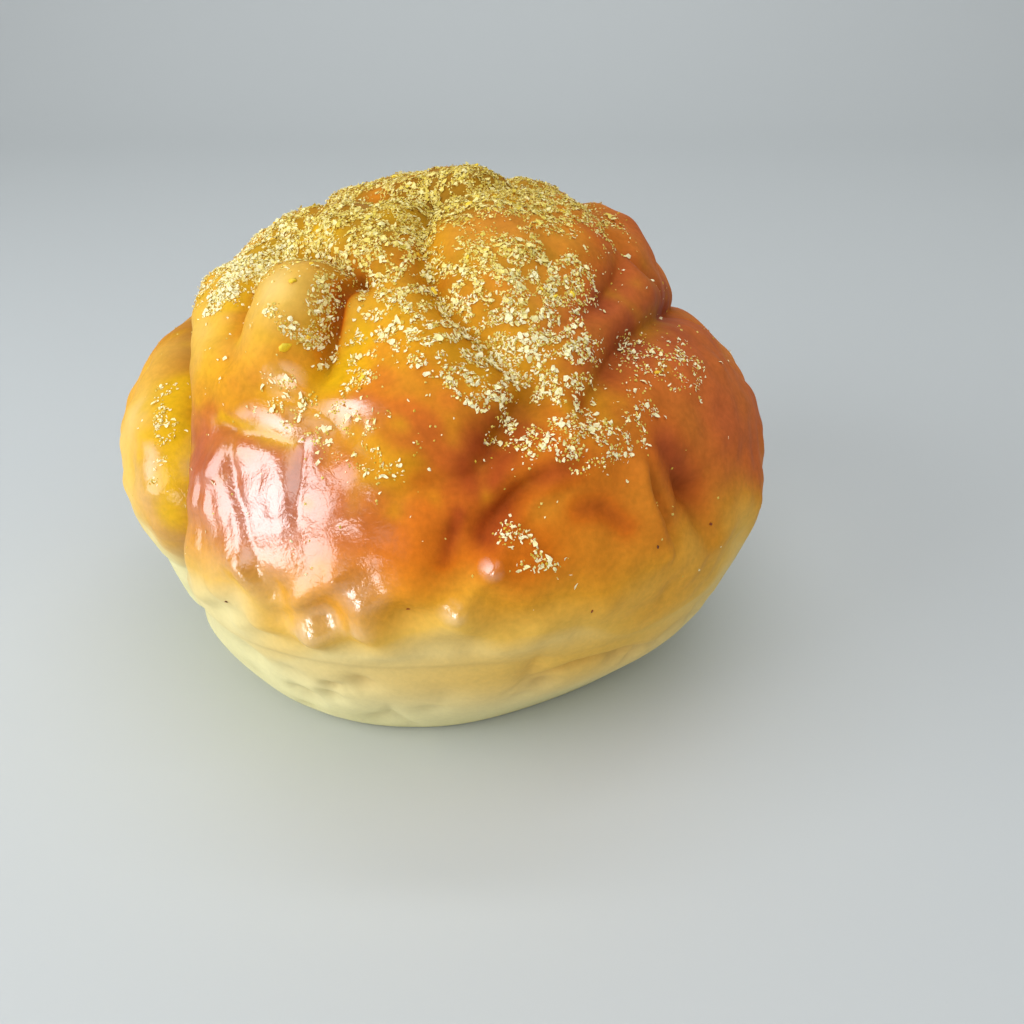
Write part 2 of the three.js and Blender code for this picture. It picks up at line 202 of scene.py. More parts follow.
# Raised rolls of the skin: height, half-width, places on the way
RIDGES = {
    "lip": (1.2, 1.7, [(-25.5, 6), (-24, 3), (-21, 0.5), (-16, 3), (-11.5, 6.5)]),
    "front_ridge": (0.9, 1.5, [(19.5, 18.5), (15, 15.5), (11.5, 12), (9, 8), (4, 2)]),
    "dent_edge": (0.8, 1.3, [(33.5, 17), (34, 11), (36, 4)]),
}
# Where the skin is knobbly: amount, place, reach in degrees
KNOBBLY = [
    (1.0, (-20, -3), (16, 7)),
    (0.5, (4, 6), (10, 8)),
    (0.6, (170, 2), (30, 10)),
]

# Airbrush: paint over the foam. Amount, place, reach in degrees; negative strokes leave the foam lighter
BROWNING_BASE = 0.66
BROWNING_FADE = (-18, 11)   # latitudes between which the paint runs out
FADE_LENGTH = 30.0          # its edge wanders: wavelength, and degrees of latitude
FADE_WANDER = 3
CLOUD_LENGTH = 16.0         # wavelength and amount of clouds in the paint
CLOUD_AMOUNT = 0.05
STROKE_EDGE = 2             # power that sets how abruptly a brush stroke ends
BROWNING = [
    (-0.34, (-32, 45), (9, 9)),
    (-0.24, (-70, 42), (16, 12)),
    (-0.40, (-68, 8), (17, 20)),
    (-0.5, (-28, -5), (16, 7)),
    (-0.1, (14, -6), (12, 6)),
    (-0.22, (42, 0), (14, 8)),
    # The next four lighter strokes lie along the front ridge's crest: a painted highlight on it
    (-0.14, (15, 15.5), (2.5, 1.8)),
    (-0.14, (11, 11.5), (2.5, 2)),
    (-0.18, (7, 5.5), (2.6, 2.4)),
    (-0.2, (3.5, 1), (2.6, 2.4)),
    (0.1, (-8, -3), (8, 6)),
    (0.22, (-42, 17), (5, 9)),
    (0.22, (-26, 15), (10, 8)),
    (0.14, (0, 27), (15, 10)),
    (0.12, (8, 10), (12, 8)),
    (0.16, (58, 18), (18, 14)),
    (0.08, (100, 48), (20, 12)),
    (-0.1, (34, 56), (16, 10)),
    (0.16, (150, 24), (30, 20)),
    (0.12, (-140, 30), (26, 18)),
    (-0.28, (-160, 46), (14, 9)),
    (-0.24, (152, 50), (11, 8)),
    (-0.26, (-116, 12), (13, 13)),
    (-0.16, (120, 4), (14, 9)),
    (-0.2, (-176, -2), (16, 8)),
]
# Paint that drifted below the parting line; the stroke on the lower right is made stronger as painted shade
# on that shadowed side
DRIFT_AND_SHADE = [
    (0.2, (34, -13), (24, 11)),
    (0.1, (0, -13), (24, 7)),
    (0.2, (150, -16), (40, 9)),
]
# Redder paint
REDDENING = [
    (0.7, (62, 18), (18, 14)),
    (0.4, (98, 46), (22, 12)),
    (0.5, (-42, 17), (6, 9)),
    (0.5, (-26, 17), (13, 8)),
    (0.2, (0, 30), (14, 8)),
    (0.4, (20, 62), (9, 4)),
    (0.35, (26, 40), (14, 7)),
    (0.35, (54, 44), (14, 8)),
    (0.3, (160, 20), (30, 18)),
    (0.3, (-130, 30), (24, 16)),
]
# Darker paint run along some creases, partly airbrushing and partly painted shade where shade falls in
# them, as at the knuckle's right edge: amount, half-width, places on the way
CREASE_PAINT_AND_SHADE_SHARE = 0.4       # of the amount, added to the browning
CREASE_PAINT_AND_SHADE = {
    "dent": (0.6, 3.2, [(40, 19), (44, 11), (47, 2)]),
    "front_groove": (0.7, 3.6, [(23, 32), (15, 27), (9, 21)]),
    "second_groove": (0.6, 2.4, [(21, 20), (14, 17), (9, 12)]),
    "arch": (0.45, 2.0, [(22, 14), (26, 13), (29, 10)]),
    "crown_edge": (0.5, 3.0, [(-58, 52), (-42, 56), (-22, 54)]),
    "top_valley": (0.6, 3.0, [(-5, 70), (-4, 60), (2, 52)]),
    "dome_side": (0.5, 5.0, [(60, 56), (56, 47)]),
    "left_pleat": (0.5, 2.5, [(-62, 50), (-46, 38)]),
    "valley": (0.5, 3.5, [(96, 32), (70, 37), (46, 35), (30, 29)]),
    "dome_foot": (0.4, 3.0, [(66, 48), (48, 45), (34, 42)]),
    "knuckle_right": (2.0, 1.2, [(-20.5, 53), (-22.4, 49), (-22, 45), (-22.4, 42), (-22, 39),
                                 (-20, 35)]),
    "rim": (0.5, 2.2, [(-64, 25), (-52, 15), (-47, 2)]),
    "small_groove": (0.4, 1.4, [(5, 15), (3, 9)]),
}

# Glue brushed on for the flakes: amount, half-width, places on the way
GLUE_LENGTH = 5.0           # its edge is ragged: wavelength, swing, and the least factor on distances
GLUE_RAGGED = 0.2
GLUE_LEAST = 0.4
GLUE_START = (8, 14)        # degrees above the parting line between which it begins
GLUE_DULLING = 0.6          # share of the lacquer that it hides
GLUE = {
    "pit": (1.0, 5.5, [(-18, 43), (-17.5, 38), (-18, 34)]),
    "top": (1.0, 4.5, [(-3, 68), (2, 57)]),
    "left_back": (0.9, 2.6, [(-62, 50), (-54, 41)]),
    "rim": (1.0, 3.8, [(-66, 22), (-56, 16), (-51, 10), (-49, 3)]),
    "fold": (0.8, 1.6, [(-38, 24), (-22, 23)]),
    "shoulder": (0.45, 5.0, [(-46, 30), (-35, 26)]),
    "band": (0.55, 4.0, [(-27, 30), (-12, 26), (-4, 21)]),
    "valley": (0.45, 2.6, [(66, 37), (56, 36)]),
    "valley_low": (0.5, 3.2, [(40, 34), (31, 28)]),
    "crown": (0.95, 20.0, [(-76, 56), (-40, 64), (-10, 72), (14, 76)]),
    "crown_right": (0.6, 12.0, [(14, 76), (60, 74), (100, 66)]),
    "crown_top": (0.95, 14.0, [(-100, 76), (-60, 84), (90, 82)]),
    "slope": (0.6, 7.0, [(-8, 46), (2, 40), (10, 36)]),
    "crown_back": (0.8, 15.0, [(110, 66), (170, 64), (230, 64), (280, 60)]),
    "centre": (0.5, 9.0, [(-6, 54), (8, 44), (20, 35)]),
    "dome_edge": (0.8, 3.0, [(12, 62), (10, 54)]),
    "knuckle": (0.15, 9.0, [(-40, 48), (-32, 44)]),
    "left_lobe": (0.25, 7.0, [(-74, 44), (-62, 38)]),
    "back_crease": (0.8, 3.0, [(164, 54), (177, 36), (173, 22)]),
    "back_fold": (0.7, 3.0, [(195, 26), (222, 28), (240, 46)]),
}

# Spots on the crown where the glue shows its own yellow: amount, place, reach in degrees
YELLOW_SPOTS = [
    (1.0, (-46, 60), (4, 2.5)),
    (1.0, (4, 61), (4, 3)),
    (0.6, (-20, 70), (5, 3)),
    (0.7, (60, 74), (6, 4)),
    (0.8, (150, 70), (6, 4)),
]

# Lacquer: general amount, then thicker patches
LACQUER_BASE = 0.11
LACQUER_START = (-1, 4)     # degrees above the parting line between which it begins
LACQUER = [
    (0.9, (-24, 14), (11, 9.5)),
    (0.9, (-26.3, 32.3), (2.4, 1.7)),
    (0.5, (-24, 25.5), (5.5, 2.3)),
    (0.9, (-12.5, 29), (3, 1.8)),
    (0.6, (-51, 8), (6, 10)),
    (0.85, (-8, 4.8), (1.8, 1.6)),
    (0.7, (-13.8, -0.7), (1.8, 1.6)),
    (0.7, (-16.8, -3), (1.6, 1.4)),
    (0.7, (-9, -0.6), (1.5, 1.3)),
    (0.75, (9, 8), (0.9, 0.9)),
    (0.8, (3.7, 2.3), (1.1, 1.1)),
    (0.5, (158, 10), (13, 10)),
    (0.5, (-150, 22), (11, 9)),
    (0.4, (-112, 10), (11, 10)),
    (-0.3, (-38, 32), (12, 5)),
    (-0.15, (62, 16), (20, 20)),
]
# Where the lacquer is wrinkled
WRINKLED = [
    (1.0, (-23, 13), (11, 11)),
    (0.6, (-51, 7), (6, 9)),
    (0.4, (0, 8), (16, 8)),
    (0.5, (150, 6), (22, 10)),
]

# Depths at which the painted shade of creases, folds and hollows is full, and the power by which that
# painted shade in hollows darkens
CREASE_FULL = 5.0
FOLD_FULL = 4.0
HOLLOW_CREASE = 7.0
HOLLOW_DIMPLE = 2.5
HOLLOW_POWER = 1.5

# Flakes and crumbs: bands that they are strewn over, with cover and half-width
BAND_EDGE = 4               # power that sets how abruptly a band ends
FLAKE_BANDS = {
    "crown": (1.12, 15, [(-92, 50), (-72, 54), (-30, 65), (20, 72), (70, 66)]),
    "crown_top": (1.02, 10, [(-120, 74), (-60, 82), (90, 80)]),
    "crown_back": (0.8, 15, [(110, 66), (170, 62), (230, 62), (280, 60)]),
    "centre": (0.9, 11, [(-8, 56), (6, 47), (20, 36)]),
    "slope": (0.85, 6, [(-8, 46), (2, 40), (12, 34)]),
    "dome": (1.1, 10, [(20, 60), (32, 48)]),
    "dome_foot": (1.0, 5, [(14, 42), (26, 38), (34, 37)]),
    "pit": (0.5, 6, [(-15, 41), (-15, 36)]),
    "knuckle_edge": (1.6, 1.6, [(-24.5, 50), (-24.3, 46), (-24.3, 42)]),
    "knuckle_foot": (1.6, 1.8, [(-31, 41), (-28, 40), (-25, 39.5)]),
    "left_strip": (1.6, 4, [(-58, 56), (-66, 48), (-60, 41)]),
    "right_patch": (0.8, 6, [(45, 33), (54, 28)]),
    "middle_patch": (0.7, 5, [(15, 25), (27, 23), (37, 25)]),
    "left_crease": (0.7, 1.4, [(-66, 20.5), (-58.5, 16.5), (-54, 12), (-53, 9)]),
    "glue_band": (0.5, 5, [(-25, 29), (-5, 22)]),
    "front": (0.35, 3, [(12, 11), (19, 8)]),
    "back_fold": (0.5, 5, [(134, 36), (172, 42), (210, 26)]),
    "left_fold": (0.4, 5, [(-126, 44), (-108, 26)]),
    "strays": (0.02, 40, [(-40, 40), (0, 45), (60, 40), (150, 40), (240, 40)]),
}
CLUMPS = ((8.0, -1.6, 1.0), (3.0, -0.1, 1.5))  # wavelength, and the wave's values for none and all
CLUMP_CLOSING = 1.2        # how much lower those values are where the cover is 1
# Lobes that stay bare: place, reach in degrees
BARE = [
    ((-35, 46), (7, 7)),
    ((92, 48), (14, 9)),
    ((62, 14), (18, 12)),
    ((42, 36), (3, 4)),
    ((38, 31), (3, 3)),
    ((41, 42), (4, 4)),
    ((-21, 45), (1.4, 5)),
    ((20, 62), (8, 3.5)),
    ((-94, 76), (4, 2.5)),
    ((56, 55), (5, 4)),
]
BARENESS = 0.93
FLAKE_COUNT = 12500
FLAKE_LENGTH = (0.4, 1.9)
FLAKE_SLENDERNESS = (0.3, 0.8)
FLAKE_CORNERS = 7
FLAKE_SEED = 42
SHRED_COUNT = 13000
SHRED_LENGTH = (0.3, 1.0)
SHRED_SLENDERNESS = (0.3, 0.8)
SHRED_CORNERS = 5
SHRED_SEED = 45
FLAKE_SPREAD = (1.4, 2.7)  # beta distribution of the lengths, most of them short
FLAKE_RAGGED = (0.5, 1.2)  # a corner's distance from the middle, in half-lengths
FLAKE_THICKNESS = 0.09
FLAKE_CURL = (0.1, 0.9)    # bend of half a flake, in radians
CURL_WAYS = [1, 1, -1]     # two in three curl up
FLAKE_TWIST = 0.5
FLAKE_TILT = 0.3
FLAKE_PILE = 0.5           # most lift of a flake that lies on others
FLAKE_SINK = 0.1
CROWN_TINT = 0.5           # how much yellower the flakes on the crown are
CROWN_HEIGHTS = (74, 92)   # heights at which that begins and is full
DUST_COUNT = 22000
DUST_SIZE = (0.1, 0.28)
DUST_UNEVEN = (0.6, 1.5)   # a corner's distance from the middle, in sizes
DUST_FLATNESS = 0.6
DUST_LIFT = 0.3            # of its size, above the skin
DUST_SEED = 44
CRUMB_PLACES = [(-29, 46), (-27, 37), (-30, 51), (29, 48), (31, 46), (-62, 52), (-4, 60), (12, 56)]
CRUMB_COUNT = 16           # besides those
CRUMB_SIZE = (0.35, 0.9)
CRUMB_PLACE_SEED = 43
CRUMB_SEED = 46
SPECK_PLACES = [(33, 6), (23, -1), (-2, 2), (47, 4), (-30, -2), (150, 3), (-120, 8)]
SPECK_SIZE = (0.24, 0.42)
SPECK_SEED = 47
GRAIN_UNEVEN = (0.7, 1.25)     # a corner's distance from a crumb's or speck's middle, in sizes
GRAIN_STRETCH = ((0.8, 0.5, 0.4), (1.6, 1.1, 0.7))    # least and most along its three axes
GRAIN_LIFT = 0.25          # of its size, above the skin

# Paint colours, as sRGB
FOAM = (234, 226, 172)
GOLD = (236, 188, 84)
AMBER = (226, 158, 44)
ORANGE_BROWN = (216, 116, 18)
DARK_BROWN = (172, 74, 14)
RED_BROWN = (186, 94, 64)
# Painted shade: the colour that creases are darkened towards, and the colour that multiplies hollows
CREASE_SHADE = (140, 66, 14)
HOLLOW_SHADE = (186, 150, 96)   # multiplies what lies deep
BROWNING_STOPS = [(0.0, FOAM), (0.25, GOLD), (0.5, AMBER), (0.78, ORANGE_BROWN), (1.0, DARK_BROWN)]
GLUE_YELLOW = (226, 178, 16)
# The olive on the crown is partly the glue's own tone and partly painted shade between the flakes
GLUE_OLIVE_AND_SHADE = (146, 108, 26)     # on the crown
FLAKE_CREAM = (254, 246, 196)
FLAKE_PALE = (250, 236, 156)
FLAKE_STRAW = (242, 220, 106)
FLAKE_YELLOW = (224, 198, 56)
DUST_PALE = (238, 218, 116)
DUST_YELLOW = (214, 178, 40)
CRUMB_YELLOW = (255, 226, 52)
CRUMB_ORANGE = (248, 196, 36)
SPECK_BROWN = (84, 50, 20)
FLOOR_PALE = (202, 207, 208)

# Finish of the skin. A range maps a value: from low and high, to low and high
# Painted shade in creases grows with the browning; painted shade in hollows lessens where glue lies
CREASE_BY_BROWNING = (0.0, 0.6, 0.25, 0.45)
HOLLOW_BY_GLUE = (0.0, 1.0, 0.5, 0.1)
MOTTLE_BY_BROWNING = (0.1, 0.5, 0.05, 0.16)
ROUGHNESS_BY_LACQUER = (0.0, 1.0, 0.6, 0.4)
COAT_BY_LACQUER = (0.22, 1.0, 0.0, 1.0)
GRAIN_BY_WRINKLES = (0.0, 1.0, 0.4, 1.3)
CRINKLE_BY_WRINKLES = (0.0, 1.0, 0.03, 0.28)
GLUE_STRENGTH = 0.9
PAINT_SPECULAR = 0.06
COAT_ROUGHNESS = 0.18
COAT_IOR = 2.8
PAINT_MOTTLE = 160.0       # scales of noise, per metre
SKIN_GRAIN = 1500.0
SKIN_CRINKLE = 380.0
SKIN_BUMP = (0.25, 0.0003)     # strength, and height in metres

# Finish of what is strewn: colours by tint, and roughness
STREWN_FINISH = {
    "flakes": ([(0.3, FLAKE_CREAM), (0.55, FLAKE_PALE), (0.8, FLAKE_STRAW), (1.0, FLAKE_YELLOW)], 0.5),
    "dust": ([(0.0, DUST_PALE), (1.0, DUST_YELLOW)], 0.6),
    "crumbs": ([(0.0, CRUMB_YELLOW), (1.0, CRUMB_ORANGE)], 0.45),
    "specks": ([(0.0, SPECK_BROWN), (1.0, DARK_BROWN)], 0.6),
}
STREWN_MOTTLE = 900.0
STREWN_UNEVEN = 0.12
STREWN_GRAIN = 2500.0
STREWN_BUMP = (0.2, 0.0001)

# Noise in the finishes
MOTTLE_DETAIL = (5.0, 2.0)     # of its clouds and specks
MOTTLE_FINENESS = 6.0      # how much finer the specks are
MOTTLE_SWING = (0.6, 1.4, -1.0, 1.0)
GRAIN_DETAIL = 4.0
CRINKLE_DETAIL = 3.0
CRINKLE_DISTORTION = 0.6
CRINKLE_MIDDLE = 0.5
CRINKLE_LINE = (0.0, 0.06, 1.0, 0.0)

# Studio, in metres
FLOOR_FRONT = -2.0
FLOOR_BACK = 0.55          # where the floor begins to curve up
FLOOR_CURVE = 0.4
FLOOR_STEPS = 17
FLOOR_HALF_WIDTH = 2.5
FLOOR_ROUGHNESS = 0.6
BACKDROP_TOP = 2.0
LOAF_MIDDLE = (0, 0, 0.045)
WHITE = (1, 1, 1)
DAYLIGHT = (0.94, 0.97, 1.0)
SKY_STRENGTH = 0.22
# Lamps: place, target, width and height, watts, colour
LAMPS = {
    "window": ((-0.50, -0.24, 0.26), LOAF_MIDDLE, (0.46, 0.44), 2.4, DAYLIGHT),
    "front": ((-0.25, -0.62, 0.12), LOAF_MIDDLE, (0.16, 0.20), 0.7, WHITE),
    "overhead": ((0.12, -0.35, 0.85), LOAF_MIDDLE, (1.0, 1.0), 4.3, WHITE),
    "backdrop": ((0.0, 0.35, 1.1), (0, 0.95, 0.3), (1.2, 0.3), 4.0, WHITE),
    "fill": ((0.7, -0.25, 0.4), LOAF_MIDDLE, (0.6, 0.6), 0.25, WHITE),
}

# Camera, as the photograph was taken
CAMERA_PLACE = (13.7, -198.0, 135.5)
CAMERA_PITCH = 30.0        # degrees down
CAMERA_VIEW = 53.0         # degrees across
CAMERA_NEAR = 0.01         # metres
SENSOR = 36.0


def direction(places):
    """Unit vectors towards places: east of the front by the azimuth, up by the latitude."""
    azimuth, latitude = np.radians(np.asarray(places, float)).T
    level = np.cos(latitude)
    return np.stack([level * np.sin(azimuth), -level * np.cos(azimuth), np.sin(latitude)], -1)


def unit(v):
    """Vectors scaled to length 1."""
    return v / np.linalg.norm(v, axis=1)[:, None]


def plain_radius(d):
    """Distance to the plain body: (across^n + up^n)^(-1/n), one half above the waist and one below."""
    across = np.hypot(d[:, 0], d[:, 1]) / (WIDTH / 2)
    up = np.abs(d[:, 2])
    crown = across ** CROWN_ROUNDNESS + (up / (HEIGHT - WAIST)) ** CROWN_ROUNDNESS
    under = across ** UNDERSIDE_ROUNDNESS + (up / UNDERSIDE_REACH) ** UNDERSIDE_ROUNDNESS
    return np.where(d[:, 2] >= 0, crown ** (-1 / CROWN_ROUNDNESS), under ** (-1 / UNDERSIDE_ROUNDNESS))


def smooth_way(places):
    """Points on the unit sphere along the Catmull-Rom curve through a few places."""
    p = direction(places)
    p = np.vstack([2 * p[0] - p[1], p, 2 * p[-1] - p[-2]])
    spans = len(places) - 1
    s = np.linspace(0, spans, WAY_STEPS + 1)
    i = np.minimum(s.astype(int), spans - 1)
    t = (s - i)[:, None]
    a, b, c, e = p[i], p[i + 1], p[i + 2], p[i + 3]
    q = b + 0.5 * t * (c - a + t * (2 * a - 5 * b + 4 * c - e + t * (3 * (b - c) + e - a)))
    return unit(q)


def nearest_on_way(d, places):
    """Distance of each direction to a way, and the share of the way at the nearest point of its steps."""
    q = smooth_way(places)
    start, step = q[:-1], np.diff(q, axis=0)
    square = (step ** 2).sum(1)
    lean = d @ step.T - (start * step).sum(1)
    along = np.clip(lean / square, 0, 1)
    gap = 2 - 2 * d @ start.T - 2 * along * lean + along ** 2 * square
    k = gap.argmin(1)
    row = np.arange(len(d))
    return np.sqrt(np.maximum(gap[row, k], 0)), (k + along[row, k]) / WAY_STEPS


def crease_depth(d, radius, depth, width, places):
    """Rounded V: depth times exp(-distance / width), the depth running from start to middle to end."""
    distance, share = nearest_on_way(d, places)
    soft = CREASE_SOFTNESS * width
    off = np.hypot(distance * radius, soft) - soft
    return np.interp(share, [0, 0.5, 1], depth) * np.exp(-off / width)


def bell(d, place, reach):
    """exp(-(x^2 + y^2) / 2) over the plane that touches the sphere at a place, x and y in reaches."""
    centre = direction([place])[0]
    east = direction([(place[0] + 90, 0)])[0]
    north = np.cross(east, centre)
    x = d @ east / math.sin(math.radians(reach[0]))
    y = d @ north / math.sin(math.radians(reach[1]))
    return np.where(d @ centre > 0, np.exp(-(x ** 2 + y ** 2) / 2), 0)


def ripple(p, length, turn=0.0):
    """Sum of plane waves of about one length, their directions spread by the golden angle."""
    k = np.arange(RIPPLE_WAVES) + 0.5
    z = 1 - 2 * k / RIPPLE_WAVES
    a = k * GOLDEN_ANGLE + turn
    level = np.sqrt(1 - z * z)
    ways = np.stack([level * np.cos(a), level * np.sin(a), z], -1)
    shortest, spread = RIPPLE_SPREAD
    lengths = length * (shortest + spread * (k * RIPPLE_STEPS[0] % 1))
    phase = 2 * math.pi * ((k * RIPPLE_STEPS[1] + turn) % 1)
    waves = np.sin(p @ (ways * 2 * math.pi / lengths[:, None]).T + phase)
    return math.sqrt(2 / RIPPLE_WAVES) * waves.sum(1)


def strokes(d, table):
    """Sum of bells, each times its amount."""
    return sum(amount * bell(d, place, reach) for amount, place, reach in table)


def stroked(d, table):
    """Sum of bells, kept between 0 and 1."""
    return np.clip(strokes(d, table), 0, 1)


def latitude_of(d):
    """Latitude of each direction, in degrees."""
    return np.degrees(np.arcsin(np.clip(d[:, 2], -1, 1)))


def rise(x, low, high):
    """Smooth step from 0 at low to 1 at high."""
    t = np.clip((x - low) / (high - low), 0, 1)
    return t * t * (3 - 2 * t)


def above_parting(d):
    """Degrees of latitude above the parting line, which wanders a little as it goes round."""
    azimuth = np.arctan2(d[:, 0], -d[:, 1])
    wander = sum(share * np.sin(turns * azimuth + phase) for share, turns, phase in PARTING_WAVES)
    return latitude_of(d) - PARTING_LATITUDE - PARTING_WANDER * wander


def brushed(d, radius, table, edge):
    """Most of many brush strokes: amount times exp(-(distance / half-width)^edge) along each way."""
    total = np.zeros(len(d))
    for amount, width, places in table.values():
        distance, _ = nearest_on_way(d, places)
        total = np.maximum(total, amount * np.exp(-(distance * radius / width) ** edge))
    return total


def carved(d, radius, table):
    """Depth of many creases, blended where they cross: (sum of depth^blend)^(1/blend)."""
    total = sum(crease_depth(d, radius, *crease) ** CREASE_BLEND for crease in table.values())
    return total ** (1 / CREASE_BLEND)


def dimples(d, radius):
    """Depth of the shallow dimples below the parting line: round bells at seeded places."""
    rng = np.random.default_rng(DIMPLE_SEED)
    total = np.zeros(len(d))
    for _ in range(DIMPLE_COUNT):
        centre = direction([(rng.uniform(-180, 180), rng.uniform(*DIMPLE_LATITUDES))])[0]
        distance = np.sqrt(np.maximum(2 - 2 * d @ centre, 0)) * radius
        reach = rng.uniform(*DIMPLE_REACH)
        total = np.maximum(total, rng.uniform(*DIMPLE_DEPTH) * np.exp(-(distance / reach) ** 2))
    return total


def loaf_radius(d):
    """Distance to the skin: plain body, swellings, bumps, rolls, lumps and the parting line, less creases,
    folds, wrinkles and dimples."""
    plain = plain_radius(d)
    raised = strokes(d, SWELLINGS.values()) + strokes(d, BUMPS) + brushed(d, plain, RIDGES, STROKE_EDGE)
    p = d * plain[:, None]
    above = above_parting(d)
    lumps = sum(height * ripple(p, length, turn=length) for length, height in LUMPS)
    lumps = lumps + KNOB_HEIGHT * ripple(p, KNOB_LENGTH, turn=KNOB_TURN) * stroked(d, KNOBBLY)
    lumps = lumps * rise(above, *LUMP_START)
    wrinkles = np.exp(-(ripple(p, WRINKLE_LENGTH, turn=WRINKLE_TURN) / WRINKLE_SHARPNESS) ** 2)
    on_the_whole, swing = PARTING_SHOWING
    clear = on_the_whole + swing * (d @ direction([(PARTING_CLEAR, 0)])[0])
    parting = PARTING_BEAD * np.exp(-(above / PARTING_WIDTH) ** 2)
    inset = rise(-above, -PARTING_WIDTH, PARTING_WIDTH) * (1 - rise(-above, PARTING_WIDTH, PARTING_DEPTH))
    parting = clear * (parting - PARTING_STEP * inset)
    depth = carved(d, plain, CREASES) + carved(d, plain, FOLDS)
    depth = depth + WRINKLE_DEPTH * wrinkles * stroked(d, WRINKLED) + dimples(d, plain)
    low = DIMPLE_MEAN * rise(-above, *DIMPLE_START)
    return plain + raised + lumps + parting + low - depth


def skin(d):
    """Points of the skin in given directions. The underside is pressed flat with a rounded edge:
    z becomes the mean of z and sqrt(z^2 + rounding^2)."""
    p = d * loaf_radius(d)[:, None]
    p[:, 2] += WAIST
    p[:, 2] = (p[:, 2] + np.hypot(p[:, 2], BASE_ROUNDING)) / 2
    return p


def cube_directions(cells):
    """Unit vectors through the corners of cells on a cube's six faces, spaced evenly by angle, and the
    quads between them."""
    t = np.tan(np.linspace(-math.pi / 4, math.pi / 4, cells + 1))
    u, v = (g.ravel() for g in np.meshgrid(t, t, indexing="ij"))
    one = np.ones_like(u)
    faces = [(one, u, v), (-one, -u, v), (-u, one, v), (u, -one, v), (u, v, -one), (v, u, one)]
    d = unit(np.concatenate([np.stack(f, -1) for f in faces]))
    k = np.arange((cells + 1) ** 2).reshape(cells + 1, cells + 1)
    cell = np.stack([k[:-1, :-1], k[1:, :-1], k[1:, 1:], k[:-1, 1:]], -1).reshape(-1, 4)
    quads = np.concatenate([cell + i * k.size for i in range(6)])
    _, first, merged = np.unique(np.round(d, 6), axis=0, return_index=True, return_inverse=True)
    d, quads = d[first], merged.reshape(-1)[quads]
    a, b, c = (d[quads[:, i]] for i in range(3))
    inward = (np.cross(b - a, c - b) * a).sum(1) < 0
    quads[inward] = quads[inward][:, ::-1]
    return d, quads


def make_piece(name, points, faces, material, attributes=(), smooth=True):
    """A mesh object at the origin from points in millimetres, with named values for each point."""
    mesh = bpy.data.meshes.new(name)
    mesh.from_pydata((points * MM).tolist(), [], faces.tolist())
    mesh.polygons.foreach_set("use_smooth", np.full(len(faces), smooth))
    for key, values in dict(attributes).items():
        layer = mesh.attributes.new(key, "FLOAT", "POINT")
        layer.data.foreach_set("value", np.asarray(values, np.float32))
    mesh.materials.append(material)
    mesh.update()
    piece = bpy.data.objects.new(name, mesh)
    bpy.context.scene.collection.objects.link(piece)
    return piece


def skin_grid():
    """Directions of the loaf's grid, drawn forward and up, the quads between them, and the skin's
    points."""
    d, quads = cube_directions(BODY_GRID)
    d = unit(d + np.array(GRID_PULL))
    return d, quads, skin(d)


def covered(d):
    """Share of the glue and flakes that is left on lobes which stay bare."""
    share = np.ones(len(d))
    for place, reach in BARE:
        share = share * (1 - BARENESS * bell(d, place, reach))
    return share


def make_loaf(d, quads, points, material):
    """The loaf's skin, with what the paint needs to know at each point."""
    plain = plain_radius(d)
    p = d * plain[:, None]
    above = above_parting(d)
    creases = carved(d, plain, CREASES)
    folds = carved(d, plain, FOLDS)
    # Painted shade in hollows: deeper creases and dimples are darkened more
    hollows = creases / HOLLOW_CREASE + dimples(d, plain) / HOLLOW_DIMPLE
    wander = FADE_WANDER * ripple(p, FADE_LENGTH, turn=FADE_TURN)
    fade = rise(latitude_of(d) + wander, *BROWNING_FADE)
    browning = BROWNING_BASE + strokes(d, BROWNING) + CLOUD_AMOUNT * ripple(p, CLOUD_LENGTH)
    # Darker along some creases: partly airbrushed paint, partly painted shade
    browning = browning + CREASE_PAINT_AND_SHADE_SHARE * brushed(d, plain, CREASE_PAINT_AND_SHADE, STROKE_EDGE)
    # Drift below the parting line, on the lower right also painted shade
    browning = np.clip(np.maximum(browning * fade, strokes(d, DRIFT_AND_SHADE)), 0, 1)
    ragged = np.maximum(1 + GLUE_RAGGED * ripple(p, GLUE_LENGTH, turn=GLUE_TURN), GLUE_LEAST)
    glue = brushed(d, plain * ragged, GLUE, STROKE_EDGE) * covered(d)
    lacquer = np.clip(LACQUER_BASE + strokes(d, LACQUER), 0, 1) * rise(above, *LACQUER_START)
    attributes = {
        "browning": browning,
        "reddening": stroked(d, REDDENING),
        # crease and hollow carry the painted shade of creases, folds and dimples
        "crease": np.clip(creases / CREASE_FULL + folds / FOLD_FULL, 0, 1),
        "hollow": np.clip(hollows, 0, 1) ** HOLLOW_POWER,
        "glue": glue * rise(above, *GLUE_START),
        # crown marks where the glue turns olive, partly painted shade between the flakes
        "crown": rise(points[:, 2], *CROWN_HEIGHTS) * (1 - stroked(d, YELLOW_SPOTS)),
        "lacquer": lacquer * (1 - GLUE_DULLING * glue),
        "wrinkled": stroked(d, WRINKLED),
    }
    return make_piece("loaf_skin", points, quads, material, attributes)


def flake_cover(d):
    """How thickly flakes lie: the most of the bands' covers, in clumps by two ripples, and thinned on
    bare lobes."""
    radius = plain_radius(d)
    cover = brushed(d, radius, FLAKE_BANDS, BAND_EDGE)
    for length, none, full in CLUMPS:
        wave = ripple(d * radius[:, None], length, turn=CLUMP_TURN) + CLUMP_CLOSING * cover
        cover = cover * rise(wave, none, full)
    return cover * covered(d)


